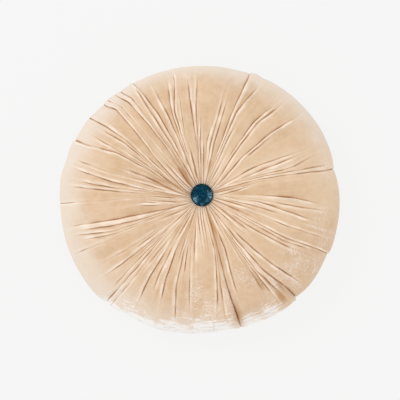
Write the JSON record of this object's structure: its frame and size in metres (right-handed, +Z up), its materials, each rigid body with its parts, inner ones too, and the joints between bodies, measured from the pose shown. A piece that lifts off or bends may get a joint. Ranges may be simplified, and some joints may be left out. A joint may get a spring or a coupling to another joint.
{
  "type": "round pumpkin cushion",
  "caption": "Round, flat-lying velvet cushion, gathered in uneven radiating folds to a covered button in the middle.",
  "frame": {"origin": "under the middle of the cushion's outline, on the surface that it lies on", "axes": "+Z up out of the front face, +X to the picture's right along the widest extent, +Y to the picture's top"},
  "size_m": [0.4028, 0.3846, 0.1315],
  "materials": {
    "cover_velvet": "short-pile velvet, peach, with paler crushed patches",
    "button_velvet": "short-pile velvet, dark teal"
  },
  "bodies": {
    "root": {"cover": "cover_velvet", "front_button": "button_velvet", "back_button": "button_velvet"}
  },
  "joints": []
}
